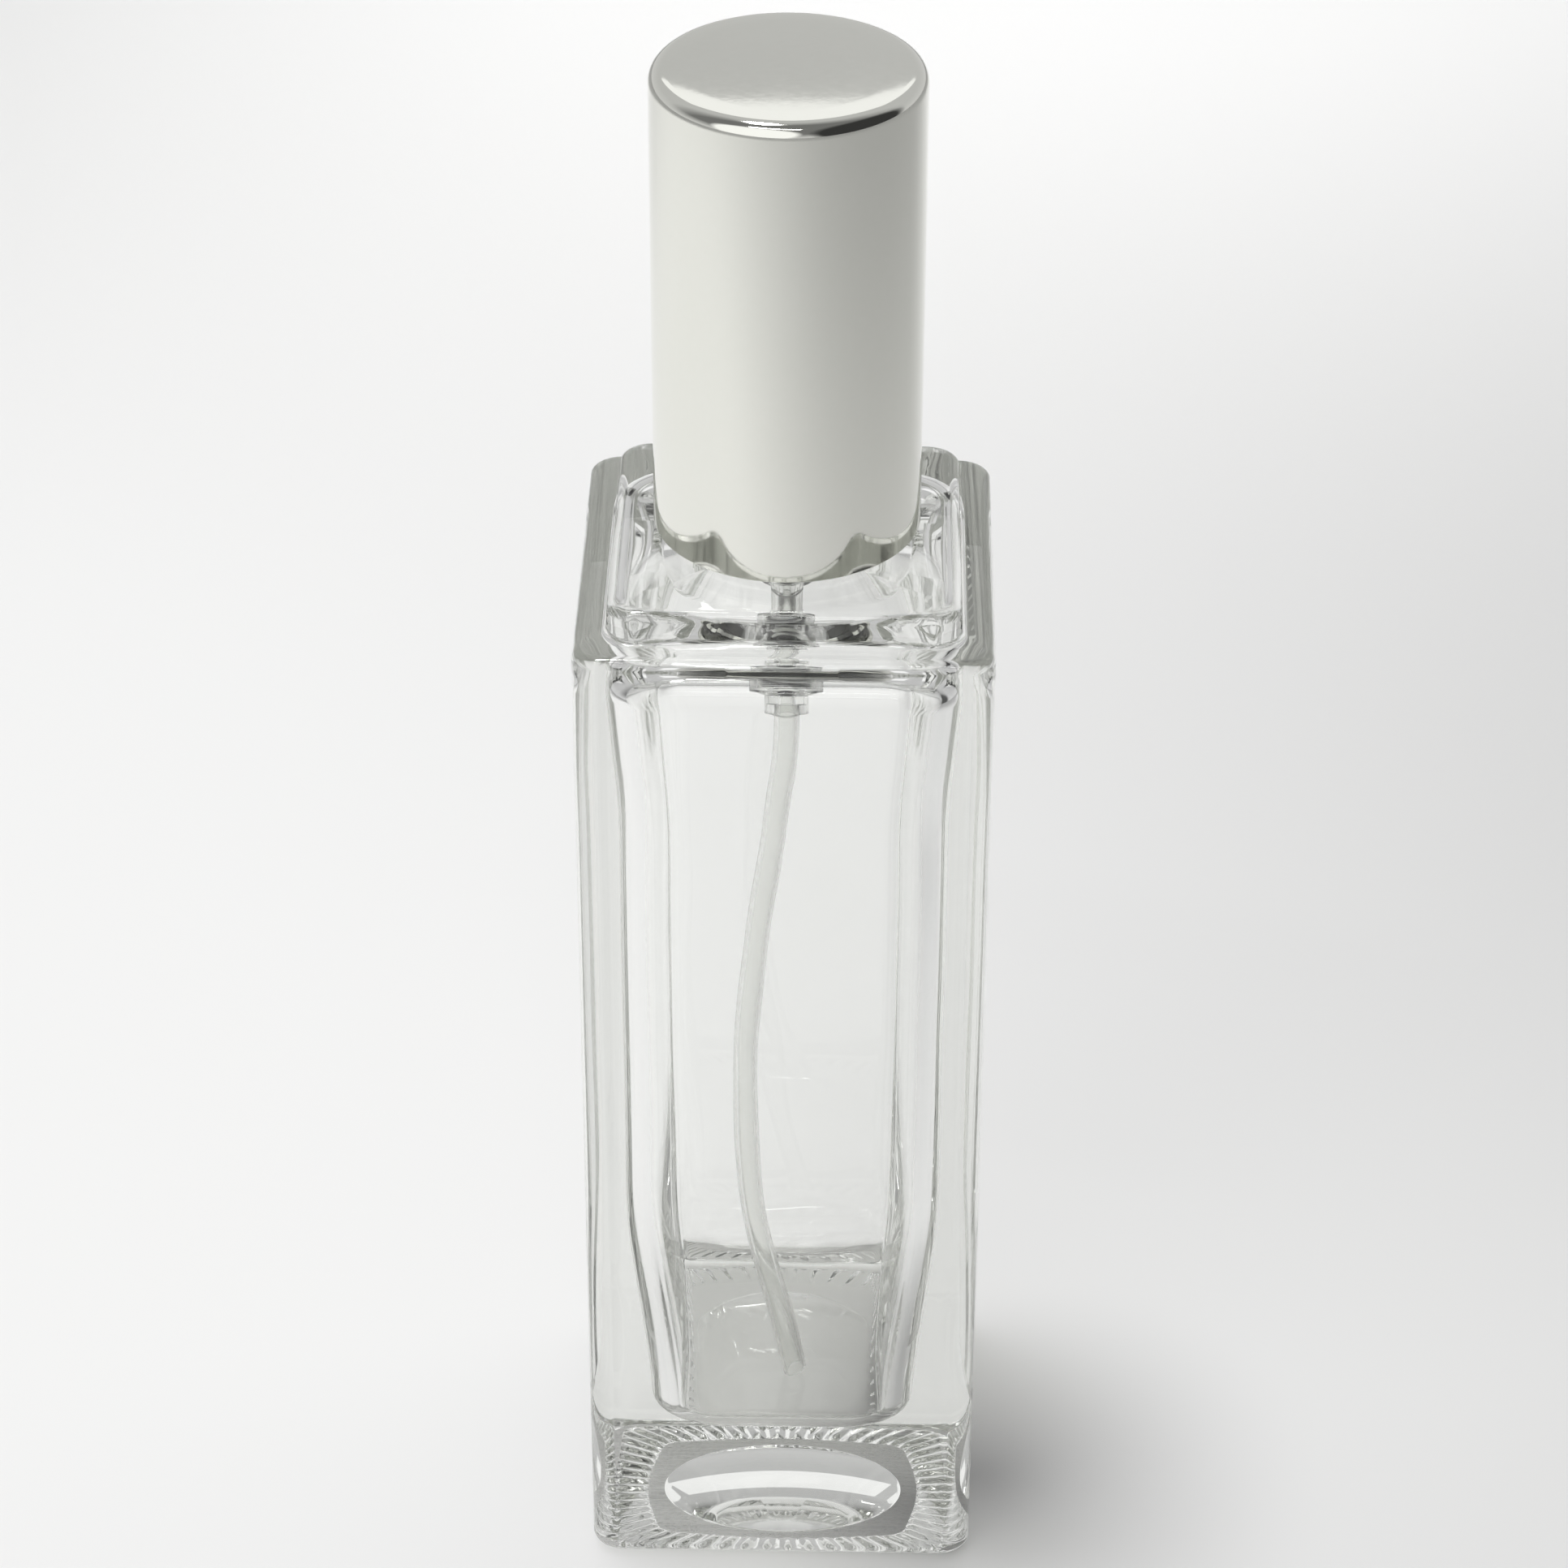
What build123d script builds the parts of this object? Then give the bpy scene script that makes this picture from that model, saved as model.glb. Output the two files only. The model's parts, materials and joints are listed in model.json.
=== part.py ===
from build123d import *
import math
import os

# A tall square glass spray bottle for aftershave, with a crimped pump and a metal overcap.
# Millimetres. The origin is the centre of the underside, +Z points up, and the spray
# nozzle faces -Y.

# ---- Glass body
body_width = 30.0
body_height = 84.0              # table to the outer edge of the shoulder
upright_edge_radius = 2.0
heel_radius = 1.2
shoulder_edge_radius = 0.8
ledge_width = 2.4               # step between the outer edge and the raised platform
platform_rise = 2.5
platform_edge_radius = 0.8
wall_thickness = 3.0
base_thickness = 10.2           # solid glass under the liquid
shoulder_glass = 2.0            # glass over the liquid, below the ledge
floor_narrowing = 1.8           # how much each wall thickens towards the floor
shoulder_widening = 0.9         # how much each wall thins towards the shoulder
cavity_corner_radius = 4.5
cavity_floor_radius = 3.0
cavity_ceiling_radius = 2.6
punt_radius = 9.6               # hollow under the base
punt_height = 1.2

# ---- Neck finish, for a 15 mm crimped pump
neck_radius = 6.5
neck_height = 8.5
neck_bore_radius = 4.4
neck_root_radius = 0.8
bead_radius = 7.4
bead_height = 5.0
bead_edge_radius = 0.8

# ---- Clearances
joint_line = 0.02               # pressed, bonded or resting pieces
crimp_gap = 0.05                # crimped or snapped pieces
running_gap = 0.04              # pieces that slide or turn on each other
open_gap = 0.3                  # moving pieces that never touch
bore_gap = 0.3                  # pump body in the glass neck

# ---- Walls, from the glass bead outwards to the overcap
ferrule_wall = 0.3
insert_wall = 0.4
collar_wall = 0.28
grip_rib_height = 0.1
liner_wall = 0.6
shell_wall = 0.4

# ---- Pump
neck_gasket_thickness = 1.0
flange_thickness = 0.9
turret_height = 2.3             # pump housing above its flange
turret_wall = 0.8
gland_lip = 0.7
stem_gasket_thickness = 0.8
gasket_seat_depth = 1.0         # stem gasket seat below the flange's underside
stem_radius = 1.5
stem_bore_radius = 0.7
stem_flange_radius = 2.15
stem_flange_thickness = 0.7
stem_nose = 1.7                 # stem below its flange
stroke = 4.5                    # full press of the button
piston_radius = 2.46
piston_height = 2.0
piston_slip = 0.8               # how far the piston gives on the stem before it opens
pin_radius = 0.6
foot_radius = 1.7
foot_thickness = 0.6
return_spring_shut = 4.9        # its length with the button fully pressed
return_spring_radius = 1.95     # outside
return_wire_radius = 0.19
return_turns = 12
inner_spring_radius = 2.05      # outside
inner_wire_radius = 0.15
inner_turns = 3
barrel_wall = 0.65
ball_radius = 0.75
ball_lift = 0.8
seat_bore_radius = 0.45
ball_chamber_radius = 1.0
detent_radius = 0.62
detent_thickness = 0.3
inlet_length = 3.0
tail_socket_depth = 3.6
tail_wall = 0.68

# ---- Dip tube
tube_radius = 0.95
tube_bore_radius = 0.6
tube_floor_gap = 0.9
tube_bow = 3.3                  # how far its middle leans to -X
tube_lean = 4.0                 # how far its foot leans to -Y
tube_return = 0.9               # how far its foot ends to +X

# ---- Spray button and collar
button_radius = 6.5
button_shell_wall = 0.25
button_shell_top = 0.6
button_inner_rounding = 0.3
button_dish = 0.3
button_crown = 5.6              # button above the top of the stem
core_skirt_wall = 0.65
core_plate = 1.2
core_boss_radius = 2.9
stem_socket_depth = 3.0
rib_thickness = 0.7
nozzle_rise = 1.6               # nozzle axis above the top of the stem
nozzle_radius = 1.9
nozzle_length = 3.0
nozzle_setback = 0.1            # nozzle's face behind the button's widest line
nozzle_wall = 0.7
orifice_radius = 0.2
swirl_post_radius = 1.0
swirl_post_length = 1.8
feed_radius = 0.35
collar_overlap = 1.2            # collar above the button's lower edge
collar_foot_gap = 0.5           # collar above the glass platform
collar_edge_radius = 0.25

# ---- Overcap
cap_foot_gap = 0.9              # overcap above the glass platform
cap_headroom = 8.1              # free height over the button
cap_edge_radius = 1.2
cap_crown_radius = 220.0        # the top is very slightly domed
liner_top = 0.8
liner_setback = 0.5             # liner above the metal shell's lower edge
stop_rib_depth = 0.95
rib_count = 8

# ---- Heights, from the table upwards
neck_base_z = body_height + platform_rise
neck_top_z = neck_base_z + neck_height
bead_foot_z = neck_top_z - bead_height
flange_z = neck_top_z + neck_gasket_thickness
flange_top_z = flange_z + flange_thickness
turret_top_z = flange_top_z + turret_height
ferrule_top_z = turret_top_z + gland_lip + crimp_gap + ferrule_wall
socket_mouth_z = ferrule_top_z + stroke + open_gap
stem_top_z = socket_mouth_z + stem_socket_depth
button_foot_z = flange_top_z + ferrule_wall + stroke + open_gap
button_top_z = stem_top_z + button_crown
nozzle_z = stem_top_z + nozzle_rise
nozzle_front_y = nozzle_setback - button_radius
nozzle_back_y = nozzle_length - button_radius
collar_foot_z = neck_base_z + collar_foot_gap
collar_top_z = button_foot_z + collar_overlap
cap_foot_z = neck_base_z + cap_foot_gap
liner_top_z = button_top_z + cap_headroom + liner_top
cap_top_z = liner_top_z + joint_line + shell_wall

# ---- Heights, from the pump's flange downwards
gasket_seat_z = flange_z - gasket_seat_depth
gland_z = gasket_seat_z + stem_gasket_thickness
stem_flange_z = gasket_seat_z - joint_line - stem_flange_thickness
stem_foot_z = stem_flange_z - stem_nose
piston_top_z = stem_foot_z - piston_slip - open_gap
piston_foot_z = piston_top_z - piston_height
pin_foot_z = piston_foot_z - joint_line - foot_thickness
spring_seat_z = pin_foot_z - stroke - return_spring_shut
piston_bore_z = piston_foot_z - stroke - open_gap
detent_z = spring_seat_z - detent_thickness
ball_to_edge = math.sqrt(ball_radius ** 2 - detent_radius ** 2)
ball_to_seat = math.sqrt(2) * ball_radius - seat_bore_radius + joint_line
seat_z = detent_z - ball_to_edge - crimp_gap - ball_lift - ball_to_seat
ball_z = seat_z + ball_to_seat
tail_top_z = seat_z - inlet_length
tail_foot_z = tail_top_z - tail_socket_depth

# ---- Radii, from the glass bead outwards
ferrule_inside = bead_radius + crimp_gap
ferrule_outside = ferrule_inside + ferrule_wall
insert_inside = ferrule_outside + crimp_gap
insert_outside = insert_inside + insert_wall
collar_inside = insert_outside + joint_line
collar_outside = collar_inside + collar_wall
liner_inside = collar_outside + running_gap + grip_rib_height
liner_outside = liner_inside + liner_wall
shell_inside = liner_outside + joint_line
cap_radius = shell_inside + shell_wall
collar_mouth = button_radius + open_gap

# ---- Radii of the pump, from its bores outwards
piston_bore = piston_radius + running_gap
spring_bore = return_spring_radius + 0.15
lower_barrel = spring_bore + barrel_wall
upper_barrel = piston_bore + barrel_wall
gland_bore = stem_radius + running_gap
neck_barrel = neck_bore_radius - bore_gap
gland_seat_radius = neck_barrel - turret_wall
turret_radius = gland_seat_radius + turret_wall
tail_bore = tube_radius + joint_line
tail_radius = tail_bore + tail_wall


def turned(*outline):
    """Spin a closed outline about the upright axis. Each point is radius, height and corner rounding."""
    points = [point[:2] for point in outline]
    roundings = [point[2] if len(point) > 2 else 0 for point in outline]
    line = FilletPolyline(*points, radius=roundings, close=True)
    return revolve(Plane.XZ * make_face(line), Axis.Z)


def rod(radius, foot, top):
    """A plain upright rod."""
    return Pos(0, 0, foot) * Cylinder(radius, top - foot, align=(Align.CENTER, Align.CENTER, Align.MIN))


def tube(outer, inner, foot, top):
    """A plain upright tube."""
    return rod(outer, foot, top) - rod(inner, foot, top)


def bar(radius, start, end, height):
    """A round bar along Y, from one Y to another, at a height."""
    return Pos(0, end, height) * Rot(90, 0, 0) * rod(radius, 0, end - start)


def fin(reach, thickness, foot, top):
    """A thin upright plate that starts at the origin and reaches along +X."""
    plate = Box(reach, thickness, top - foot, align=(Align.MIN, Align.CENTER, Align.MIN))
    return Pos(0, 0, foot) * plate


def square_block(width, corner, foot, top):
    """An upright block with a rounded square section."""
    return Pos(0, 0, foot) * extrude(RectangleRounded(width, width, corner), top - foot)


def spring(outer, wire, turns, foot, top):
    """A round-wire compression spring between two heights."""
    mean = outer - wire
    run = top - foot - 2 * wire
    path = Helix(run / turns, run, mean, center=(0, 0, foot + wire))
    section = Plane(origin=path @ 0, z_dir=path % 0) * Circle(wire)
    return sweep(section, path, is_frenet=True)


# ---- Glass

def liquid_space():
    """The hollow in the glass: it narrows to a thick base and opens out under the shoulder."""
    middle = body_width - 2 * wall_thickness
    floor = middle - 2 * floor_narrowing
    ceiling = middle + 2 * shoulder_widening
    floor_z = base_thickness
    ceiling_z = body_height - shoulder_glass
    span = ceiling_z - floor_z
    stations = [
        (floor_z, floor),
        (floor_z + 0.12 * span, floor + 0.7),
        (floor_z + 0.35 * span, middle),
        (floor_z + 0.75 * span, middle + 0.2),
        (ceiling_z, ceiling),
    ]
    sections = [
        Pos(0, 0, height) * RectangleRounded(width, width, cavity_corner_radius)
        for height, width in stations
    ]
    hollow = loft(sections)
    hollow = fillet(hollow.faces().sort_by(Axis.Z)[0].edges(), cavity_floor_radius)
    return fillet(hollow.faces().sort_by(Axis.Z)[-1].edges(), cavity_ceiling_radius)


def glass_bottle():
    """The square body, its raised platform and the crimp neck, less the liquid space."""
    body = square_block(body_width, upright_edge_radius, 0, body_height)
    body = fillet(body.faces().sort_by(Axis.Z)[-1].edges(), shoulder_edge_radius)
    body = fillet(body.faces().sort_by(Axis.Z)[0].edges(), heel_radius)
    platform_width = body_width - 2 * ledge_width
    platform = square_block(platform_width, upright_edge_radius, body_height - ledge_width, neck_base_z)
    platform = fillet(platform.faces().sort_by(Axis.Z)[-1].edges(), platform_edge_radius)
    neck = turned(
        (0, body_height),
        (neck_radius, body_height),
        (neck_radius, bead_foot_z, neck_root_radius / 2),
        (bead_radius, bead_foot_z, bead_edge_radius / 2),
        (bead_radius, neck_top_z, bead_edge_radius),
        (0, neck_top_z),
    )
    bore = turned(
        (0, body_height - shoulder_glass - 1),
        (neck_bore_radius + 2.4, body_height - shoulder_glass - 1),
        (neck_bore_radius + 2.4, body_height - shoulder_glass),
        (neck_bore_radius, body_height + platform_rise / 2, 1.5),
        (neck_bore_radius, neck_top_z + 1),
        (0, neck_top_z + 1),
    )
    ball = (punt_radius ** 2 + punt_height ** 2) / (2 * punt_height)
    punt = Pos(0, 0, punt_height - ball) * Sphere(ball)
    return body + platform + neck - liquid_space() - bore - punt


# ---- Crimped closure

def neck_gasket():
    """The flat ring that seals the pump's flange on the glass."""
    return tube(bead_radius - bead_edge_radius, neck_bore_radius, neck_top_z, flange_z)


def crimp_ferrule():
    """The metal cup that clamps the pump's flange and closes under the glass bead."""
    lip = neck_radius + open_gap
    lip_top = bead_foot_z - crimp_gap
    plate = flange_top_z + ferrule_wall
    turret_inside = turret_radius + crimp_gap
    turret_outside = turret_inside + ferrule_wall
    mouth = stem_radius + 2 * open_gap
    return turned(
        (lip, lip_top - ferrule_wall),
        (ferrule_outside, lip_top - ferrule_wall, 0.2),
        (ferrule_outside, plate, 0.4),
        (turret_outside, plate),
        (turret_outside, ferrule_top_z, 0.4),
        (mouth, ferrule_top_z),
        (mouth, ferrule_top_z - ferrule_wall),
        (turret_inside, ferrule_top_z - ferrule_wall),
        (turret_inside, flange_top_z),
        (ferrule_inside, flange_top_z),
        (ferrule_inside, lip_top),
        (lip, lip_top),
    )


def collar_insert():
    """The plastic ring that snaps under the crimp and carries the metal collar."""
    snap_top = bead_foot_z - 2 * crimp_gap - ferrule_wall
    top = collar_top_z - collar_wall - joint_line
    return turned(
        (insert_inside - 0.35, snap_top - 0.6),
        (insert_outside, snap_top - 0.6),
        (insert_outside, top),
        (insert_inside, top),
        (insert_inside, snap_top),
        (insert_inside - 0.35, snap_top),
    )


def collar_shell():
    """The bright metal sleeve round the crimp, turned in at the top round the button."""
    return turned(
        (collar_inside, collar_foot_z),
        (collar_outside, collar_foot_z),
        (collar_outside, collar_top_z, collar_edge_radius),
        (collar_mouth, collar_top_z),
        (collar_mouth, collar_top_z - collar_wall),
        (collar_inside, collar_top_z - collar_wall),
    )


# ---- Pump

def pump_housing():
    """The stepped plastic barrel: flange on the gasket, piston bore, spring bore and tail."""
    shoulder_z = seat_z - 0.2
    step_z = piston_bore_z - barrel_wall
    neck_step_z = gasket_seat_z - 1.6
    cone = ball_chamber_radius - seat_bore_radius
    flange_radius = bead_radius - 0.3
    return turned(
        (tail_bore, tail_foot_z),
        (tail_radius, tail_foot_z, 0.2),
        (tail_radius, shoulder_z),
        (lower_barrel, shoulder_z + 1.2),
        (lower_barrel, step_z - 0.4),
        (upper_barrel, step_z),
        (upper_barrel, neck_step_z - 0.6),
        (neck_barrel, neck_step_z),
        (neck_barrel, flange_z),
        (flange_radius, flange_z),
        (flange_radius, flange_top_z),
        (turret_radius, flange_top_z),
        (turret_radius, turret_top_z),
        (gland_seat_radius, turret_top_z),
        (gland_seat_radius, gasket_seat_z),
        (piston_bore, gasket_seat_z),
        (piston_bore, piston_bore_z),
        (spring_bore, piston_bore_z - 0.4),
        (spring_bore, spring_seat_z),
        (detent_radius, spring_seat_z),
        (detent_radius, detent_z),
        (ball_chamber_radius, detent_z),
        (ball_chamber_radius, seat_z + cone),
        (seat_bore_radius, seat_z),
        (seat_bore_radius, tail_top_z),
        (tail_bore, tail_top_z),
    )


def stem_gasket():
    """The rubber ring that the stem's flange seals against at rest."""
    outer = gland_seat_radius - joint_line
    return tube(outer, gland_bore, gasket_seat_z, gland_z)


def gland_ring():
    """The plug that holds the stem gasket down and guides the stem."""
    barrel = gland_seat_radius - joint_line
    return turned(
        (gland_bore, gland_z),
        (barrel, gland_z),
        (barrel, turret_top_z),
        (turret_radius, turret_top_z),
        (turret_radius, turret_top_z + gland_lip, 0.2),
        (gland_bore, turret_top_z + gland_lip),
    )


def stem():
    """The hollow pump stem that carries the button."""
    return turned(
        (stem_bore_radius, stem_foot_z),
        (stem_radius, stem_foot_z),
        (stem_radius, stem_flange_z),
        (stem_flange_radius, stem_flange_z),
        (stem_flange_radius, stem_flange_z + stem_flange_thickness),
        (stem_radius, stem_flange_z + stem_flange_thickness),
        (stem_radius, stem_top_z, 0.2),
        (stem_bore_radius, stem_top_z),
    )


def stem_pin():
    """The pin pressed up into the stem, with flats for the liquid and a foot for the spring."""
    pressed = stem_bore_radius - joint_line
    pressed_top = stem_foot_z + 2.4
    foot_top = pin_foot_z + foot_thickness
    pin = turned(
        (0, pin_foot_z),
        (foot_radius, pin_foot_z, 0.1),
        (foot_radius, foot_top),
        (pin_radius, foot_top),
        (pin_radius, stem_foot_z),
        (pressed, stem_foot_z),
        (pressed, pressed_top, 0.1),
        (0, pressed_top),
    )
    flat = Box(pressed, 4 * pressed, pressed_top - stem_foot_z, align=(Align.MIN, Align.CENTER, Align.MIN))
    for side in (0, 180):
        pin -= Rot(0, 0, side) * Pos(0.7 * pressed, 0, stem_foot_z) * flat
    return pin


def piston():
    """The sliding seal, with a thin lip at each end of its skirt."""
    waist = piston_radius - 0.35
    lip = 0.35
    return turned(
        (pin_radius + running_gap, piston_foot_z),
        (piston_radius - 0.5, piston_foot_z),
        (piston_radius, piston_foot_z + 0.1),
        (piston_radius, piston_foot_z + lip),
        (waist, piston_foot_z + 2 * lip),
        (waist, piston_top_z - 2 * lip),
        (piston_radius, piston_top_z - lip),
        (piston_radius, piston_top_z - 0.1),
        (piston_radius - 0.2, piston_top_z),
        (pin_radius + running_gap, piston_top_z),
    )


def return_spring():
    """The spring that lifts the stem, between the housing's seat and the pin's foot."""
    return spring(return_spring_radius, return_wire_radius, return_turns, spring_seat_z, pin_foot_z)


def inner_spring():
    """The light spring that holds the piston shut on the pin's foot."""
    return spring(inner_spring_radius, inner_wire_radius, inner_turns, piston_top_z, stem_flange_z)


def check_ball():
    """The steel ball that lets liquid up and not down."""
    return Pos(0, 0, ball_z) * Sphere(ball_radius)


def dip_tube():
    """The thin plastic tube from the pump's tail to the floor, with its natural bow."""
    top = tail_top_z
    foot = base_thickness + tube_floor_gap
    drop = tail_foot_z - foot
    route = [
        (0, 0, top),
        (0, 0, tail_foot_z - 0.08 * drop),
        (-0.7 * tube_bow, -0.2 * tube_lean, tail_foot_z - 0.32 * drop),
        (-tube_bow, -0.4 * tube_lean, tail_foot_z - 0.56 * drop),
        (-0.7 * tube_bow, -0.68 * tube_lean, tail_foot_z - 0.78 * drop),
        (tube_return, -tube_lean, foot),
    ]
    path = FilletPolyline(*route, radius=bend_radii(route))
    section = Plane(origin=path @ 0, z_dir=path % 0) * (Circle(tube_radius) - Circle(tube_bore_radius))
    return sweep(section, path)


def bend_radii(route):
    """The largest bend that fits at each inner point of a route."""
    radii = []
    for before, corner, after in zip(route, route[1:], route[2:]):
        first = Vector(*corner) - Vector(*before)
        second = Vector(*after) - Vector(*corner)
        half_turn = math.radians(first.get_angle(second)) / 2
        radii.append(0.45 * min(first.length, second.length) / math.tan(half_turn))
    return radii


# ---- Spray button

def button_shell():
    """The bright metal cover of the button, with a finger dish and the nozzle's hole."""
    inside = button_radius - button_shell_wall
    cover = turned(
        (0, button_top_z),
        (button_radius, button_top_z, 0.6),
        (button_radius, button_foot_z),
        (inside, button_foot_z),
        (inside, button_top_z - button_shell_top, button_inner_rounding),
        (0, button_top_z - button_shell_top),
    )
    dish_reach = 0.75 * button_radius
    dish = (dish_reach ** 2 + button_dish ** 2) / (2 * button_dish)
    cover -= Pos(0, 0, button_top_z - button_dish + dish) * Sphere(dish)
    return cover - bar(nozzle_radius + 2 * running_gap, -button_radius - 1, nozzle_back_y, nozzle_z)


def button_core():
    """The plastic body of the button: stem socket, ribs, nozzle bore with its post, and feed ways."""
    outer = button_radius - button_shell_wall - joint_line
    top = button_top_z - button_shell_top - joint_line
    blank = turned((0, button_foot_z), (outer, button_foot_z), (outer, top, button_inner_rounding), (0, top))
    core = tube(outer, outer - core_skirt_wall, button_foot_z, top)
    core += rod(outer, top - core_plate, top)
    core += rod(core_boss_radius, socket_mouth_z, top)
    for turn in (0, 90, 180):
        core += Rot(0, 0, turn) * fin(outer - core_skirt_wall / 2, rib_thickness, socket_mouth_z + 1, top)
    core += bar(nozzle_radius + nozzle_wall, -outer, 0, nozzle_z)
    core &= blank
    core -= bar(nozzle_radius + joint_line, -button_radius - 1, nozzle_back_y, nozzle_z)
    core += bar(swirl_post_radius, nozzle_back_y - swirl_post_length, nozzle_back_y + 0.2, nozzle_z)
    feed_z = nozzle_z + (nozzle_radius + swirl_post_radius) / 2
    core -= bar(feed_radius, nozzle_back_y - 0.1, 0, feed_z)
    core -= rod(stem_bore_radius, stem_top_z, feed_z + feed_radius)
    return core - rod(stem_radius + running_gap, socket_mouth_z - 1, stem_top_z + joint_line)


def nozzle_insert():
    """The small cup pressed into the button, with a swirl chamber and the spray hole."""
    back = nozzle_back_y - joint_line
    front_wall = nozzle_length - nozzle_setback - swirl_post_length - orifice_radius
    cup = bar(nozzle_radius, nozzle_front_y, back, nozzle_z)
    cup -= bar(swirl_post_radius + 2 * running_gap, nozzle_front_y + front_wall, back, nozzle_z)
    cup -= bar(orifice_radius, nozzle_front_y, back, nozzle_z)
    dimple = Cone(0.55 * nozzle_radius, orifice_radius, 0.5 * front_wall)
    return cup - Pos(0, nozzle_front_y + 0.25 * front_wall, nozzle_z) * Rot(-90, 0, 0) * dimple


# ---- Overcap

def domed_rod(radius, foot, top, edge):
    """An upright rod with a very slightly domed top and a rounded edge."""
    blank = turned((0, foot), (radius, foot), (radius, top, edge), (0, top))
    return blank & Pos(0, 0, top - cap_crown_radius) * Sphere(cap_crown_radius)


def cap_shell():
    """The drawn metal overcap."""
    outside = domed_rod(cap_radius, cap_foot_z, cap_top_z, cap_edge_radius)
    return outside - domed_rod(shell_inside, cap_foot_z, cap_top_z - shell_wall, cap_edge_radius - shell_wall)


def cap_liner():
    """The plastic lining of the overcap: ribs that grip the collar and ribs that stop on it."""
    foot = cap_foot_z + liner_setback
    liner = domed_rod(liner_outside, foot, liner_top_z, cap_edge_radius - shell_wall)
    liner -= rod(liner_inside, foot, liner_top_z - liner_top)
    middle = liner_inside + liner_wall / 2
    grip_tip = liner_inside - grip_rib_height
    stop_tip = liner_inside - stop_rib_depth
    grip = fin(middle, rib_thickness, foot + 2, collar_top_z - 2) - rod(grip_tip, foot, collar_top_z)
    stop_foot = collar_top_z + joint_line
    stop = fin(middle, rib_thickness, stop_foot, liner_top_z - liner_top / 2)
    stop -= rod(stop_tip, stop_foot, liner_top_z)
    for number in range(rib_count):
        liner += Rot(0, 0, number * 360 / rib_count) * (grip + stop)
    return liner


pieces = {
    "glass_bottle": glass_bottle,
    "neck_gasket": neck_gasket,
    "crimp_ferrule": crimp_ferrule,
    "collar_insert": collar_insert,
    "collar_shell": collar_shell,
    "pump_housing": pump_housing,
    "stem_gasket": stem_gasket,
    "gland_ring": gland_ring,
    "stem": stem,
    "stem_pin": stem_pin,
    "piston": piston,
    "return_spring": return_spring,
    "inner_spring": inner_spring,
    "check_ball": check_ball,
    "dip_tube": dip_tube,
    "button_shell": button_shell,
    "button_core": button_core,
    "nozzle_insert": nozzle_insert,
    "cap_shell": cap_shell,
    "cap_liner": cap_liner,
}

os.makedirs("parts", exist_ok=True)
for name, make in pieces.items():
    export_step(make(), f"parts/{name}.step")
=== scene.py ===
import json
import math

import bmesh
import bpy
from mathutils import Matrix, Vector


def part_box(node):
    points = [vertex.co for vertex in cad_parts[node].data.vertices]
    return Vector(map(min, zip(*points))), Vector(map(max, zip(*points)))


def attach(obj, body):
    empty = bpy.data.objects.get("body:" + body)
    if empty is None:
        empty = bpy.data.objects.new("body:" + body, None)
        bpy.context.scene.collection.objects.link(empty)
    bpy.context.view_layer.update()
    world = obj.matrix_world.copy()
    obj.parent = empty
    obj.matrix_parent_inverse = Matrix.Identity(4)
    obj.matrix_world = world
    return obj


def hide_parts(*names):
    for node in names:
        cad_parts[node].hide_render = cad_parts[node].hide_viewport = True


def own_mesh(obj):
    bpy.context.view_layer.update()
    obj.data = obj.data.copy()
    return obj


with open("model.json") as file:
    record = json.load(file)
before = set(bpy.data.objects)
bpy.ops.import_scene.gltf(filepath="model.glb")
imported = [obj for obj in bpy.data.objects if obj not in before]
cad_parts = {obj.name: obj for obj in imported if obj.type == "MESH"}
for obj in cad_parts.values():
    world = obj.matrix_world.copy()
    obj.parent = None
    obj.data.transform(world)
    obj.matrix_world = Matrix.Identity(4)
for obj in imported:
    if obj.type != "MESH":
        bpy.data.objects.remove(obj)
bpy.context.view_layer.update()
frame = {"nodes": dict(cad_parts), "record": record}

# Lengths in the outlines below are in millimetres; the scene is in metres.
MM = 0.001

# ---------------------------------------------------------------- sizes taken from the frame


def low(node):
    """The lowest corner of a CAD node, in millimetres."""
    return [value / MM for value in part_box(node)[0]]


def high(node):
    """The highest corner of a CAD node, in millimetres."""
    return [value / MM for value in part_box(node)[1]]


body_half = high("glass_bottle")[0]
neck_top = high("glass_bottle")[2]
cap_radius = high("cap_shell")[0]
cap_foot = low("cap_shell")[2]
cap_top = high("cap_shell")[2]

# The glass, as it is moulded.
ledge_width = 2.4
platform_rise = 2.5
upright_edge_radius = 2.0
heel_radius = 1.2
shoulder_edge_radius = 0.8
ledge_root_radius = 0.5
platform_edge_radius = 0.8
neck_height = 8.5
platform_top = neck_top - neck_height
shoulder_top = platform_top - platform_rise
platform_half = body_half - ledge_width
bead_height = 5.0
bead_radius = 7.4
bead_edge_radius = 0.8
neck_radius = 6.5
neck_root_radius = 0.8
bore_radius = 4.4
floor_height = 10.2
ceiling_height = shoulder_top - 2.0
wall = 3.0
floor_narrowing = 1.8
shoulder_widening = 0.9
floor_half = body_half - wall - floor_narrowing
ceiling_half = body_half - wall + shoulder_widening
cavity_corner = 4.5
cavity_floor_radius = 3.0
cavity_ceiling_radius = 2.6
punt_radius = 9.6
punt_height = 1.2

# ---------------------------------------------------------------- modelling helpers


def finish_piece(bm, name, body, material, replaced):
    """Turn a bmesh into a finished piece that rides on a body and stands for CAD nodes."""
    bmesh.ops.recalc_face_normals(bm, faces=bm.faces[:])
    mesh = bpy.data.meshes.new(name)
    bm.to_mesh(mesh)
    bm.free()
    mesh.materials.append(material)
    for face in mesh.polygons:
        face.use_smooth = True
    piece = bpy.data.objects.new(name, mesh)
    bpy.context.scene.collection.objects.link(piece)
    weighting = piece.modifiers.new("even_normals", "WEIGHTED_NORMAL")
    weighting.mode = "FACE_AREA"
    weighting.weight = 60
    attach(piece, body)
    if replaced:
        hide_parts(*replaced)
    return piece


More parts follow.
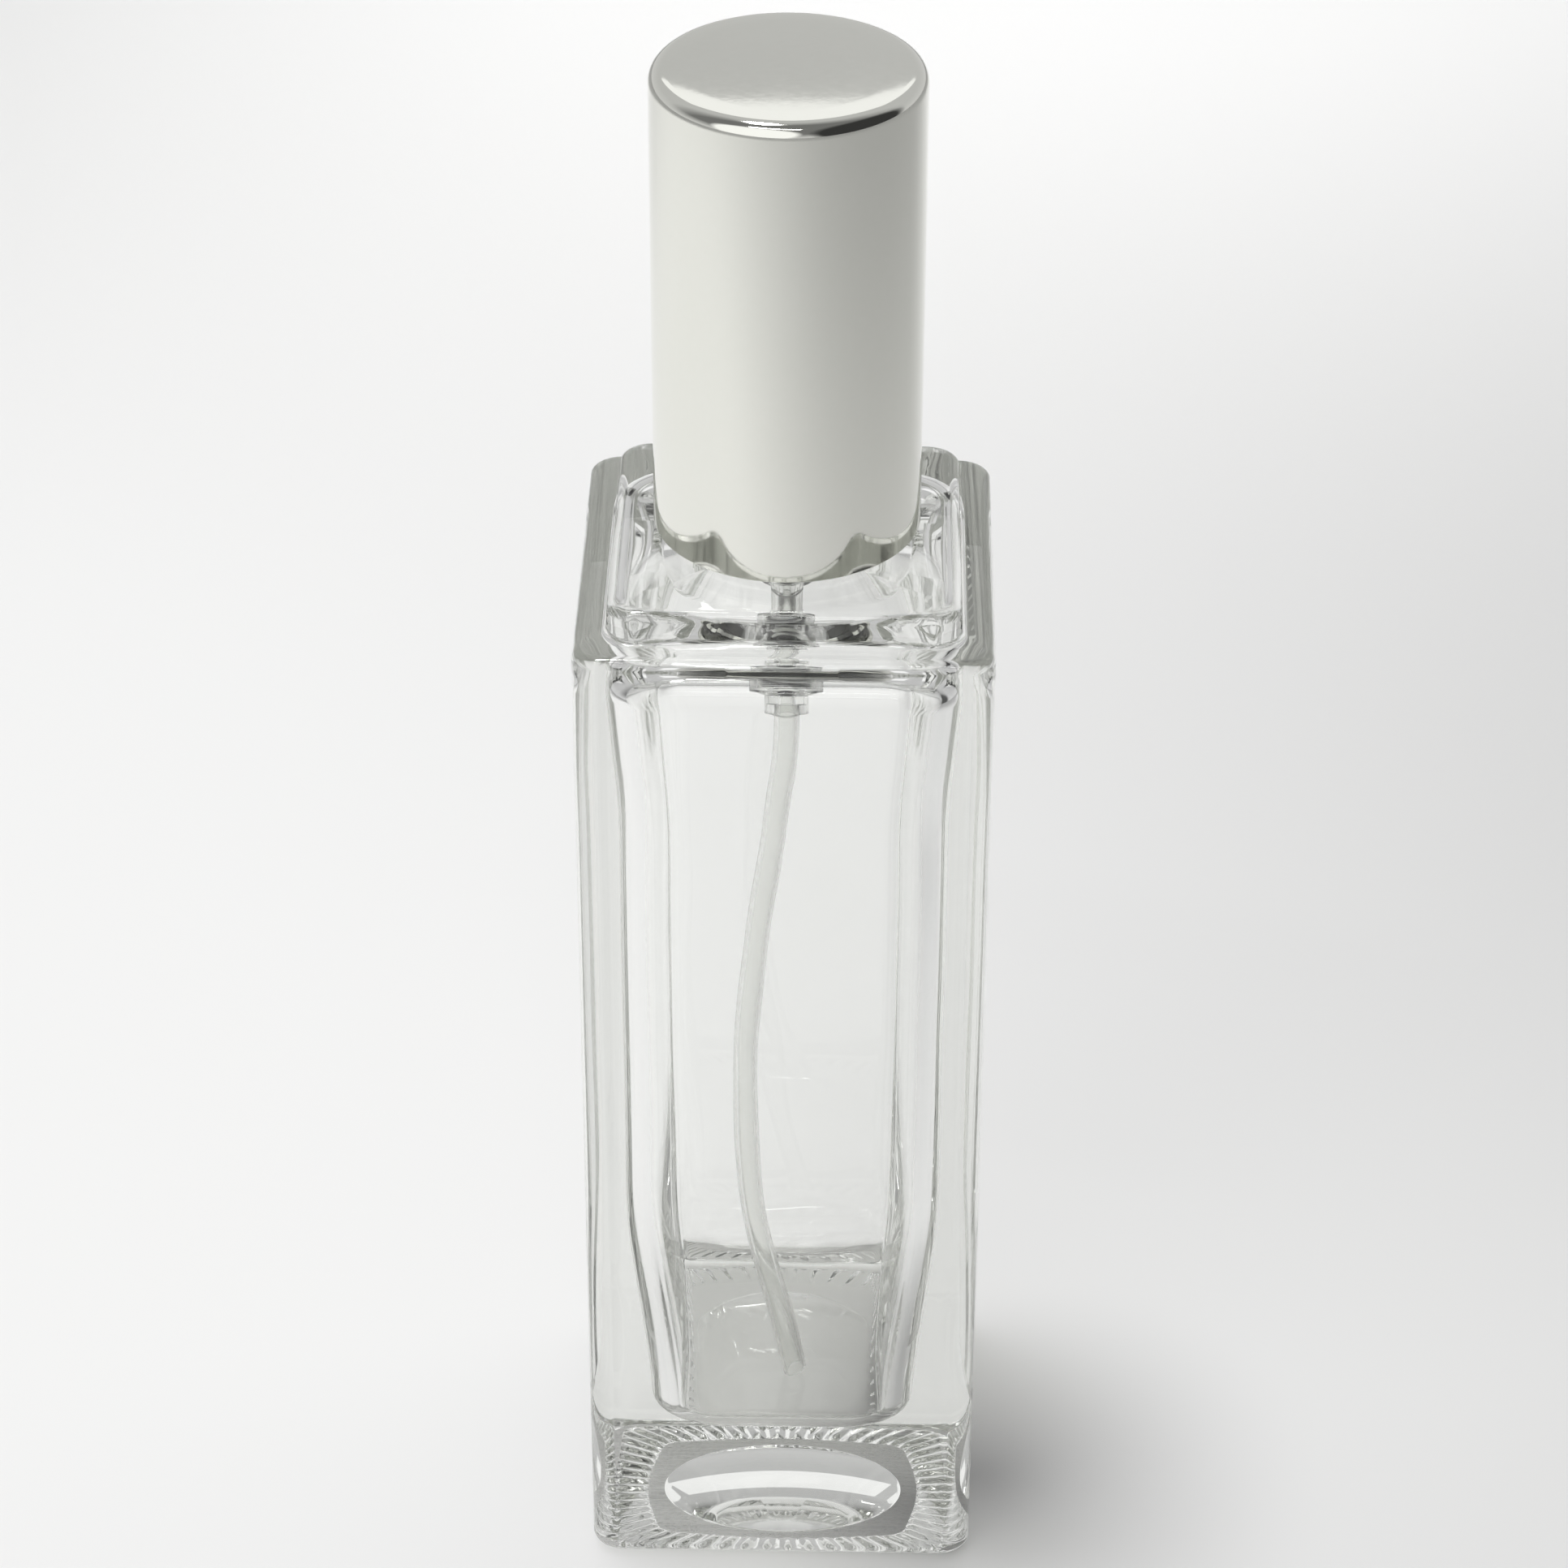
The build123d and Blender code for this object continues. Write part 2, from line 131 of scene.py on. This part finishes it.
def rounded_outline(points, segments=6):
    """Round the corners of an outline. A point is a list of values, the first two being where it
    is and the last how much it is rounded; the values between are carried along."""
    dense = []
    for index, point in enumerate(points):
        rounding = point[-1]
        if rounding <= 0 or index in (0, len(points) - 1):
            dense.append(tuple(point[:-1]))
            continue
        here = Vector(point[:2])
        before = Vector(points[index - 1][:2]) - here
        after = Vector(points[index + 1][:2]) - here
        half_angle = before.angle(after) / 2
        reach = rounding / math.tan(half_angle)
        start = here + before.normalized() * reach
        end = here + after.normalized() * reach
        middle = (before.normalized() + after.normalized()).normalized()
        centre = here + middle * (rounding / math.sin(half_angle))
        sweep = math.pi - 2 * half_angle
        first = start - centre
        side = 1 if first.x * (end - centre).y - first.y * (end - centre).x > 0 else -1
        for step in range(segments + 1):
            turn = side * sweep * step / segments
            spoke = Vector((first.x * math.cos(turn) - first.y * math.sin(turn),
                            first.x * math.sin(turn) + first.y * math.cos(turn)))
            dense.append((centre.x + spoke.x, centre.y + spoke.y, *point[2:-1]))
    return dense


def turned(outline, steps=128, segments=5, closed=True):
    """Spin an outline of (radius, height, rounding) points about the upright axis."""
    bm = bmesh.new()
    profile = rounded_outline(outline, segments)
    ring = [bm.verts.new((radius * MM, 0, height * MM)) for radius, height in profile]
    edges = [bm.edges.new(pair) for pair in zip(ring, ring[1:])]
    if closed:
        edges.append(bm.edges.new((ring[-1], ring[0])))
    bmesh.ops.spin(bm, geom=ring + edges, cent=(0, 0, 0), axis=(0, 0, 1), angle=math.tau,
                   steps=steps, use_merge=True)
    bmesh.ops.remove_doubles(bm, verts=bm.verts[:], dist=1e-7)
    return bm


# ---------------------------------------------------------------- the glass bottle

SIDE_STEPS = 74
CORNER_STEPS = 16
GRIP_BAND = (10.9, 11.3, 13.1, 13.5)    # half widths across the ribbed band under the base
GRIP_PERIOD = 6
GRIP_HEIGHT = 0.34
FLOOR_TAPER = 24        # how far up from the floor the walls thin
SHOULDER_TAPER = 15     # how far down from the ceiling they thin again
PUNT_STEPS = 14
WALL_STEPS = 34


def square_ring(half, corner):
    """The points of a rounded square, in order round it."""
    straight = half - corner
    points = []
    for quarter in range(4):
        turn = quarter * math.pi / 2
        cos, sin = round(math.cos(turn)), round(math.sin(turn))
        for step in range(SIDE_STEPS):
            x, y = half, straight * (2 * step / SIDE_STEPS - 1)
            points.append((x * cos - y * sin, x * sin + y * cos))
        for step in range(CORNER_STEPS):
            angle = (step / CORNER_STEPS) * math.pi / 2
            x, y = straight + corner * math.cos(angle), straight + corner * math.sin(angle)
            points.append((x * cos - y * sin, x * sin + y * cos))
    return points


def ring_places(half, height, corner, roundness):
    """Where the points of one ring of the glass lie: from a rounded square to a circle."""
    even = square_ring(body_half, upright_edge_radius)
    places = []
    for (x, y), (u, v) in zip(square_ring(half, min(corner, half * 0.98)), even):
        angle = math.atan2(v, u)
        x += (half * math.cos(angle) - x) * roundness
        y += (half * math.sin(angle) - y) * roundness
        places.append(Vector((x, y, height)) * MM)
    return places


def next_ring(bm, ring, places):
    """Extrude a ring of vertices to new places."""
    edges = [bm.edges.get(pair) for pair in zip(ring, ring[1:] + ring[:1])]
    made = {item for item in bmesh.ops.extrude_edge_only(bm, edges=edges)["geom"]
            if isinstance(item, bmesh.types.BMVert)}
    grown = []
    for vert, place in zip(ring, places):
        new = next(edge.other_vert(vert) for edge in vert.link_edges
                   if edge.other_vert(vert) in made)
        new.co = place
        grown.append(new)
    return grown


def ease(value):
    """A smooth step from 0 to 1."""
    value = min(max(value, 0), 1)
    return value * value * (3 - 2 * value)


def cavity_half(height):
    """Half the width of the liquid space at a height: a thick base and a thinner shoulder."""
    middle = body_half - wall
    low_part = ease((height - floor_height) / FLOOR_TAPER)
    high_part = ease((height - (ceiling_height - SHOULDER_TAPER)) / SHOULDER_TAPER)
    return floor_half + (middle - floor_half) * low_part + (ceiling_half - middle) * high_part


def glass_outline():
    """Stations of (half width, height, corner, roundness) from the punt, round the outside, over
    the rim and down the inside to the floor."""
    ball = (punt_radius ** 2 + punt_height ** 2) / (2 * punt_height)
    edge = upright_edge_radius
    inner = cavity_corner
    stations = []
    for step in range(1, PUNT_STEPS):
        radius = punt_radius * step / PUNT_STEPS
        stations.append((radius, punt_height - ball + math.sqrt(ball ** 2 - radius ** 2), edge, 1))
    wall_top = ceiling_height - 8
    wall_foot = floor_height + 3.2
    bead_foot = neck_top - bead_height
    outside = [
        (punt_radius * 0.97, 0.07, edge, 1, 0),
        (punt_radius, 0, edge, 1, 0),
        (GRIP_BAND[0], 0, edge, 0.35, 0),
        (GRIP_BAND[1], 0, edge, 0.3, 0),
        (GRIP_BAND[2], 0, edge, 0.1, 0),
        (GRIP_BAND[3], 0, edge, 0.05, 0),
        (body_half, 0, edge, 0, heel_radius),
        (body_half, shoulder_top, edge, 0, shoulder_edge_radius),
        (platform_half, shoulder_top, edge, 0, ledge_root_radius),
        (platform_half, platform_top, edge, 0, platform_edge_radius),
        (neck_radius + 3, platform_top, edge, 0.8, 0),
        (neck_radius, platform_top, edge, 1, neck_root_radius),
        (neck_radius, bead_foot, edge, 1, 0.4),
        (bead_radius, bead_foot, edge, 1, 0.4),
        (bead_radius, neck_top, edge, 1, bead_edge_radius),
        (bore_radius, neck_top, edge, 1, 0.5),
        (bore_radius, platform_top - 1.2, inner, 1, 1.5),
        (9.2, ceiling_height + 0.4, inner, 0.55, 3.0),
        (ceiling_half, ceiling_height - 1.2, inner, 0, cavity_ceiling_radius),
        (cavity_half(wall_top), wall_top, inner, 0, 0),
    ]
    stations += rounded_outline(outside, 7)
    for step in range(1, WALL_STEPS):
        height = wall_top + (wall_foot - wall_top) * step / WALL_STEPS
        stations.append((cavity_half(height), height, inner, 0))
    inside = [
        (cavity_half(wall_foot), wall_foot, inner, 0, 0),
        (floor_half, floor_height, inner, 0, cavity_floor_radius),
        (2.0, floor_height + 0.3, 3, 1, 0),
        (0.6, floor_height + 0.3, 3, 1, 0),
    ]
    return stations + rounded_outline(inside, 8)


def glass_ripple(place):
    """The slow unevenness of the blown inner wall."""
    x, y, z = place / MM
    wave = math.sin(0.31 * z + 0.2 * x) + 0.7 * math.sin(0.17 * z - 0.35 * y + 1.3)
    return 0.02 * wave + 0.006 * math.sin(0.9 * x + 0.6 * y + 0.5 * z)


def make_glass_bottle(material):
    """The whole bottle as one closed wall of glass."""
    stations = glass_outline()
    first = stations[0]
    bm = bmesh.new()
    count = 4 * (SIDE_STEPS + CORNER_STEPS)
    ring = bmesh.ops.create_circle(bm, cap_ends=True, segments=count, radius=first[0] * MM)["verts"]
    for vert, place in zip(ring, ring_places(*first)):
        vert.co = place
    top_reached = False
    for station in stations[1:]:
        places = ring_places(*station)
        top_reached = top_reached or station[1] >= neck_top
        if top_reached and station[1] < shoulder_top and station[0] > bore_radius + 1:
            for place in places:
                spread = Vector((place.x, place.y, 0)).normalized() * glass_ripple(place) * MM
                place += spread
        if station[1] == 0 and GRIP_BAND[1] <= station[0] <= GRIP_BAND[2]:
            for number, place in enumerate(places):
                place.z = GRIP_HEIGHT * MM * math.sin(math.pi * number / GRIP_PERIOD) ** 2
        ring = next_ring(bm, ring, places)
    bmesh.ops.contextual_create(bm, geom=ring)
    ends = [face for face in bm.faces if len(face.verts) > 4]
    bmesh.ops.poke(bm, faces=ends)
    return finish_piece(bm, "glass_body", "bottle", material, ["glass_bottle"])


# ---------------------------------------------------------------- the overcap


def make_cap_shell(material):
    """The drawn overcap: a faint dome on top, a tight rounded edge and a thin open rim."""
    crown = 220.0
    shell_wall = 0.4
    outline = [(0, cap_top, 0)]
    for share in (0.2, 0.4, 0.6, 0.75):
        radius = share * cap_radius
        outline.append((radius, cap_top - radius ** 2 / (2 * crown), 0))
    edge = cap_top - cap_radius ** 2 / (2 * crown)
    outline += [
        (cap_radius, edge, 1.15),
        (cap_radius, cap_foot, 0.12),
        (cap_radius - shell_wall, cap_foot, 0.12),
        (cap_radius - shell_wall, cap_top - 0.7, 0.8),
        (0, cap_top - shell_wall, 0),
    ]
    bm = turned(outline, steps=192, segments=8, closed=False)
    return finish_piece(bm, "overcap_shell", "overcap", material, ["cap_shell"])


# ---------------------------------------------------------------- springs and dip tube


def make_spring(name, body, node, wire, turns, material):
    """A coil of round wire between the ends of its CAD spring."""
    foot, top = low(node)[2], high(node)[2]
    mean = high(node)[0] - wire
    steps_per_turn = 40
    steps = turns * steps_per_turn
    rise = top - foot - 2 * wire
    bm = bmesh.new()
    ring = bmesh.ops.create_circle(bm, cap_ends=True, segments=10, radius=wire * MM)["verts"]
    bmesh.ops.rotate(bm, verts=ring, cent=(0, 0, 0), matrix=Matrix.Rotation(math.pi / 2, 3, "X"))
    bmesh.ops.translate(bm, verts=ring, vec=Vector((mean, 0, foot + wire)) * MM)
    bmesh.ops.spin(bm, geom=ring + bm.edges[:] + bm.faces[:], cent=(0, 0, 0), axis=(0, 0, 1),
                   dvec=(0, 0, rise / steps * MM), angle=math.tau * turns, steps=steps)
    piece = finish_piece(bm, name, body, material, [node])
    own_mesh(piece)
    return piece


def bent_route(corners, segments=14):
    """A route of straight runs joined by wide arcs, with the direction at each place."""
    points = [Vector(corner) for corner in corners]
    route = [(points[0], (points[1] - points[0]).normalized())]
    for before, here, after in zip(points, points[1:], points[2:]):
        arriving, leaving = (here - before), (after - here)
        reach = 0.45 * min(arriving.length, leaving.length)
        arriving.normalize()
        leaving.normalize()
        turn = arriving.angle(leaving)
        radius = reach / math.tan(turn / 2)
        inward = (leaving - arriving * math.cos(turn)).normalized()
        start = here - arriving * reach
        for step in range(segments + 1):
            angle = turn * step / segments
            along = arriving * radius * math.sin(angle)
            aside = inward * radius * (1 - math.cos(angle))
            route.append((start + along + aside,
                          arriving * math.cos(angle) + inward * math.sin(angle)))
    route.append((points[-1], (points[-1] - points[-2]).normalized()))
    return route


def make_dip_tube(material):
    """The thin tube from the pump's tail to the floor, with its natural bow."""
    outer, inner = 0.95, 0.6
    bow, lean, back = 3.3, 4.0, 0.9
    top, foot, tail_foot = high("dip_tube")[2], 11.1, low("pump_housing")[2]
    drop = tail_foot - foot
    route = bent_route([
        (0, 0, top),
        (0, 0, tail_foot - 0.08 * drop),
        (-0.7 * bow, -0.2 * lean, tail_foot - 0.32 * drop),
        (-bow, -0.4 * lean, tail_foot - 0.56 * drop),
        (-0.7 * bow, -0.68 * lean, tail_foot - 0.78 * drop),
        (back, -lean, foot),
    ])
    count = 32
    bm = bmesh.new()
    first = bmesh.ops.create_circle(bm, segments=count, radius=outer * MM)["verts"]

    def around(station, radius):
        place, direction = station
        across = (Vector((1, 0, 0)) - direction * direction.x).normalized()
        beside = direction.cross(across)
        turns = [math.tau * step / count for step in range(count)]
        return [(place + across * radius * math.cos(turn) + beside * radius * math.sin(turn)) * MM
                for turn in turns]

    for vert, place in zip(first, around(route[0], outer)):
        vert.co = place
    ring = first
    for station in route[1:]:
        ring = next_ring(bm, ring, around(station, outer))
    for station in reversed(route):
        ring = next_ring(bm, ring, around(station, inner))
    rims = [bm.edges.get(pair) for loop in (first, ring) for pair in zip(loop, loop[1:] + loop[:1])]
    bmesh.ops.bridge_loops(bm, edges=rims)
    return finish_piece(bm, "dip_tube_body", "bottle", material, ["dip_tube"])


# ---------------------------------------------------------------- materials

GRAIN_DEPTH = 0.0001


def new_material(name):
    """A material with an empty node tree and its output."""
    material = bpy.data.materials.new(name)
    material.use_nodes = True
    tree = material.node_tree
    tree.nodes.clear()
    output = tree.nodes.new("ShaderNodeOutputMaterial")
    return material, tree, output


def principled(tree, **values):
    """A Principled shader with the given socket values, underscores standing for spaces."""
    shader = tree.nodes.new("ShaderNodeBsdfPrincipled")
    for key, value in values.items():
        shader.inputs[key.replace("_", " ")].default_value = value
    return shader


def clouds_group():
    """A slow and a fine noise on the piece's own coordinates, with a height for bumps."""
    group = bpy.data.node_groups.new("handling_marks", "ShaderNodeTree")
    face = group.interface
    for name, value in (("Slow Scale", 60.0), ("Fine Scale", 900.0), ("Fine Share", 0.3)):
        socket = face.new_socket(name=name, in_out="INPUT", socket_type="NodeSocketFloat")
        socket.default_value = value
    face.new_socket(name="Mask", in_out="OUTPUT", socket_type="NodeSocketFloat")
    face.new_socket(name="Height", in_out="OUTPUT", socket_type="NodeSocketFloat")
    enter = group.nodes.new("NodeGroupInput")
    leave = group.nodes.new("NodeGroupOutput")
    where = group.nodes.new("ShaderNodeTexCoord")
    slow = group.nodes.new("ShaderNodeTexNoise")
    fine = group.nodes.new("ShaderNodeTexNoise")
    slow.inputs["Detail"].default_value = 3
    fine.inputs["Detail"].default_value = 4
    for noise, name in ((slow, "Slow Scale"), (fine, "Fine Scale")):
        group.links.new(where.outputs["Object"], noise.inputs["Vector"])
        group.links.new(enter.outputs[name], noise.inputs["Scale"])
    mix = group.nodes.new("ShaderNodeMix")
    mix.data_type = "FLOAT"
    group.links.new(enter.outputs["Fine Share"], mix.inputs["Factor"])
    group.links.new(slow.outputs["Fac"], mix.inputs["A"])
    group.links.new(fine.outputs["Fac"], mix.inputs["B"])
    group.links.new(mix.outputs["Result"], leave.inputs["Mask"])
    group.links.new(fine.outputs["Fac"], leave.inputs["Height"])
    return group


marks = clouds_group()


def place_marks(tree, slow, fine, share):
    """The noise group in a material, with its own sizes."""
    node = tree.nodes.new("ShaderNodeGroup")
    node.node_tree = marks
    node.inputs["Slow Scale"].default_value = slow
    node.inputs["Fine Scale"].default_value = fine
    node.inputs["Fine Share"].default_value = share
    return node


def ramp(tree, source, from_range, to_range):
    """A value spread from one range to another."""
    node = tree.nodes.new("ShaderNodeMapRange")
    node.inputs["From Min"].default_value, node.inputs["From Max"].default_value = from_range
    node.inputs["To Min"].default_value, node.inputs["To Max"].default_value = to_range
    tree.links.new(source, node.inputs["Value"])
    return node.outputs["Result"]


def vary(tree, source, limits):
    """Spread the middle of a noise mask between two values."""
    return ramp(tree, source, (0.3, 0.7), limits)


def tint(tree, source, colours):
    """Blend two colours by a mask."""
    node = tree.nodes.new("ShaderNodeMix")
    node.data_type = "RGBA"
    node.inputs["A"].default_value = (*colours[0], 1)
    node.inputs["B"].default_value = (*colours[1], 1)
    tree.links.new(source, node.inputs["Factor"])
    return node.outputs["Result"]


def bump(tree, source, strength, distance, shader):
    """Raise the shader's surface by a height."""
    node = tree.nodes.new("ShaderNodeBump")
    node.inputs["Strength"].default_value = strength
    node.inputs["Distance"].default_value = distance
    tree.links.new(source, node.inputs["Height"])
    tree.links.new(node.outputs["Normal"], shader.inputs["Normal"])


def let_lamps_through(tree, shader, output, colour):
    """Mix a clear shader with a plain transparent one that only the lamps' shadows see."""
    through = tree.nodes.new("ShaderNodeBsdfTransparent")
    through.inputs["Color"].default_value = colour
    path = tree.nodes.new("ShaderNodeLightPath")
    mix = tree.nodes.new("ShaderNodeMixShader")
    tree.links.new(path.outputs["Is Shadow Ray"], mix.inputs["Fac"])
    tree.links.new(shader.outputs["BSDF"], mix.inputs[1])
    tree.links.new(through.outputs["BSDF"], mix.inputs[2])
    tree.links.new(mix.outputs["Shader"], output.inputs["Surface"])


def surface_noise(tree, shader, sizes, colours, roughness):
    """Vary a shader's colour and roughness by the noise group, and give the group back."""
    noise = place_marks(tree, *sizes)
    mask = noise.outputs["Mask"]
    tree.links.new(vary(tree, mask, roughness), shader.inputs["Roughness"])
    tree.links.new(tint(tree, mask, colours), shader.inputs["Base Color"])
    return noise


def clear_glass():
    """Clear flint glass with a trace of haze and an olive depth, which lets the lamps through."""
    material, tree, output = new_material("clear_glass")
    shader = principled(tree, Transmission_Weight=1.0, IOR=1.52, Metallic=0.0)
    surface_noise(tree, shader, (90, 1500, 0.3),
                  ((0.985, 0.99, 0.98), (0.998, 1, 0.995)), (0.0, 0.012))
    let_lamps_through(tree, shader, output, (0.985, 0.985, 0.98, 1))
    depth = tree.nodes.new("ShaderNodeVolumeAbsorption")
    depth.inputs["Color"].default_value = (0.35, 0.38, 0.285, 1)
    depth.inputs["Density"].default_value = 6.0
    tree.links.new(depth.outputs["Volume"], output.inputs["Volume"])
    return material


def metal(name, colours, roughness, fine=1600, grain=0.02):
    """Bright or satin metal, with a fine grain."""
    material, tree, output = new_material(name)
    shader = principled(tree, Metallic=1.0)
    noise = surface_noise(tree, shader, (70, fine, 0.45), colours, roughness)
    bump(tree, noise.outputs["Height"], grain, GRAIN_DEPTH, shader)
    tree.links.new(shader.outputs["BSDF"], output.inputs["Surface"])
    return material


def plastic(name, colours, roughness, clear=0.0):
    """Moulded plastic; clear is how much light it lets through."""
    material, tree, output = new_material(name)
    shader = principled(tree, IOR=1.49, Transmission_Weight=clear, Metallic=0.0)
    noise = surface_noise(tree, shader, (140, 2200, 0.4), colours, roughness)
    bump(tree, noise.outputs["Height"], 0.02 if clear > 0 else 0.05, GRAIN_DEPTH, shader)
    if clear > 0:
        let_lamps_through(tree, shader, output, (0.9, 0.9, 0.9, 1))
    else:
        tree.links.new(shader.outputs["BSDF"], output.inputs["Surface"])
    return material


glass = clear_glass()
bright_metal = metal("bright_anodised_metal",
                     ((0.83, 0.835, 0.775), (0.88, 0.88, 0.83)), (0.05, 0.09))
crimp_metal = metal("satin_crimp_metal",
                    ((0.62, 0.62, 0.62), (0.74, 0.74, 0.74)), (0.22, 0.34), grain=0.06)
# The spring steel is painted nearly black, far darker than bare steel: painted shade for the dark
# inside of the pump's neck on a real coil.
steel = metal("spring_steel_painted_shade",
              ((0.03, 0.03, 0.033), (0.07, 0.07, 0.075)), (0.2, 0.32), fine=2600)
natural_plastic = plastic("natural_plastic",
                          ((0.96, 0.97, 0.95), (0.99, 0.99, 0.98)), (0.05, 0.11), clear=0.95)
white_plastic = plastic("white_plastic", ((0.78, 0.78, 0.76), (0.86, 0.86, 0.84)), (0.32, 0.46))
seal_plastic = plastic("seal_plastic", ((0.70, 0.70, 0.67), (0.79, 0.79, 0.76)), (0.4, 0.55))
rubber = plastic("seal_rubber", ((0.02, 0.02, 0.022), (0.045, 0.045, 0.048)), (0.55, 0.75))

SLOT_MATERIALS = {
    "clear_glass": glass,
    "bright_aluminium": bright_metal,
    "crimp_aluminium": crimp_metal,
    "natural_plastic": natural_plastic,
    "white_plastic": white_plastic,
    "seal_rubber": rubber,
    "seal_plastic": seal_plastic,
    "spring_steel": steel,
}

for subpart in frame["record"]["subparts"]:
    mesh = frame["nodes"][subpart["node"]].data
    mesh.materials.clear()
    mesh.materials.append(SLOT_MATERIALS[subpart["material_slot"]])

make_glass_bottle(glass)
make_cap_shell(bright_metal)
make_spring("return_coil", "bottle", "return_spring", wire=0.19, turns=12,
            material=steel)
make_spring("inner_coil", "plunger", "inner_spring", wire=0.15, turns=3,
            material=steel)
make_dip_tube(natural_plastic)

# ---------------------------------------------------------------- floor, light and camera


def make_floor():
    """A plain pale floor."""
    bm = bmesh.new()
    bmesh.ops.create_grid(bm, x_segments=1, y_segments=1, size=4.0)
    mesh = bpy.data.meshes.new("pale_floor")
    bm.to_mesh(mesh)
    bm.free()
    floor = bpy.data.objects.new("pale_floor", mesh)
    bpy.context.scene.collection.objects.link(floor)
    material, tree, output = new_material("pale_floor")
    shader = principled(tree, Base_Color=(0.86, 0.86, 0.855, 1), Roughness=0.6)
    shader.inputs["Specular IOR Level"].default_value = 0.2
    tree.links.new(shader.outputs["BSDF"], output.inputs["Surface"])
    mesh.materials.append(material)


def aim(thing, target):
    """Point a lamp or camera at a place."""
    direction = Vector(target) - thing.location
    thing.rotation_euler = direction.to_track_quat("-Z", "Y").to_euler()


def place_lamp(name, kind, place, target, power):
    """A lamp of a kind, aimed at a target."""
    data = bpy.data.lights.new(name, kind)
    data.energy = power
    lamp = bpy.data.objects.new(name, data)
    lamp.location = place
    bpy.context.scene.collection.objects.link(lamp)
    aim(lamp, target)
    return data


def soft_lamp(name, place, target, size, power):
    """A rectangular soft lamp."""
    data = place_lamp(name, "AREA", place, target, power)
    data.shape = "RECTANGLE"
    data.size, data.size_y = size


def pool_lamp(name, place, target, cone, edge, softness, power):
    """A soft round lamp that lights a pool on the floor, with a wide faded edge."""
    data = place_lamp(name, "SPOT", place, target, power)
    data.spot_size = math.radians(cone)
    data.spot_blend = edge
    data.shadow_soft_size = softness


def blend_values(tree, factor, first, second):
    """Blend two values, each a number or a node's output."""
    node = tree.nodes.new("ShaderNodeMix")
    node.data_type = "FLOAT"
    tree.links.new(factor, node.inputs["Factor"])
    for name, value in (("A", first), ("B", second)):
        if isinstance(value, float):
            node.inputs[name].default_value = value
        else:
            tree.links.new(value, node.inputs[name])
    return node.outputs["Result"]


def patch(tree, where, direction, edge, middle):
    """A round soft-edged patch of the room about a direction."""
    toward = tree.nodes.new("ShaderNodeVectorMath")
    toward.operation = "DOT_PRODUCT"
    toward.inputs[1].default_value = Vector(direction).normalized()
    tree.links.new(where.outputs["Generated"], toward.inputs[0])
    return ramp(tree, toward.outputs["Value"], (edge, middle), (0, 1))


def make_lights():
    """A wide pool of light from the left, a softbox behind, a bright strip above the front, and a
    room that is bright near the floor and dim above, with a window at the front left and a dark
    flag at the front right."""
    pool_lamp("key_pool", (-0.20, 0.06, 1.2), (-0.135, 0.005, 0), 28.5, 0.42, 0.14, 34)
    pool_lamp("back_pool", (0.05, 0.50, 1.2), (0.05, 0.40, 0), 23, 0.7, 0.10, 38)
    soft_lamp("back_softbox", (-0.02, 0.75, 0.73), (0, 0, 0.12), (0.70, 0.37), 0.38)
    soft_lamp("top_strip", (-0.10, -0.40, 0.80), (0, 0, 0.09), (0.45, 0.03), 0.45)
    world = bpy.data.worlds.new("studio")
    bpy.context.scene.world = world
    world.use_nodes = True
    tree = world.node_tree
    tree.nodes.clear()
    output = tree.nodes.new("ShaderNodeOutputWorld")
    background = tree.nodes.new("ShaderNodeBackground")
    background.inputs["Strength"].default_value = 1.0
    where = tree.nodes.new("ShaderNodeTexCoord")
    split = tree.nodes.new("ShaderNodeSeparateXYZ")
    tree.links.new(where.outputs["Generated"], split.inputs["Vector"])
    raised = ramp(tree, split.outputs["Z"], (0.05, 0.40), (0, 1))
    behind = ramp(tree, split.outputs["Y"], (-0.05, 0.35), (0, 1))
    above = blend_values(tree, behind, 0.18, 0.54)
    room = blend_values(tree, raised, 0.62, above)
    window = patch(tree, where, (-0.42, -0.84, 0.34), 0.80, 0.86)
    flag = patch(tree, where, (0.86, -0.45, 0.25), 0.72, 0.82)
    lit = blend_values(tree, window, room, 1.10)
    tree.links.new(blend_values(tree, flag, lit, 0.04), background.inputs["Color"])
    tree.links.new(background.outputs["Background"], output.inputs["Surface"])


def make_camera():
    """A long lens that looks down on the front of the bottle."""
    data = bpy.data.cameras.new("camera")
    data.sensor_width = 36
    data.lens = 107.8
    data.clip_start = 0.01
    camera = bpy.data.objects.new("camera", data)
    tilt, turn, roll = math.radians(33.29), math.radians(1.04), math.radians(0.17)
    camera.location = Vector((5.18, -294.8, 257.7)) * MM
    level = math.pi / 2
    camera.rotation_euler = (
        Matrix.Rotation(turn, 3, "Z")
        @ Matrix.Rotation(level - tilt, 3, "X")
        @ Matrix.Rotation(roll, 3, "Z")
    ).to_euler()
    bpy.context.scene.collection.objects.link(camera)
    bpy.context.scene.camera = camera


make_floor()
make_lights()
make_camera()

# Light passes many walls of glass before it reaches the eye.
scene = bpy.context.scene
scene.view_settings.view_transform = "Standard"
scene.cycles.caustics_refractive = False
scene.cycles.max_bounces = 64
scene.cycles.transmission_bounces = 64
scene.cycles.glossy_bounces = 32
scene.cycles.transparent_max_bounces = 24
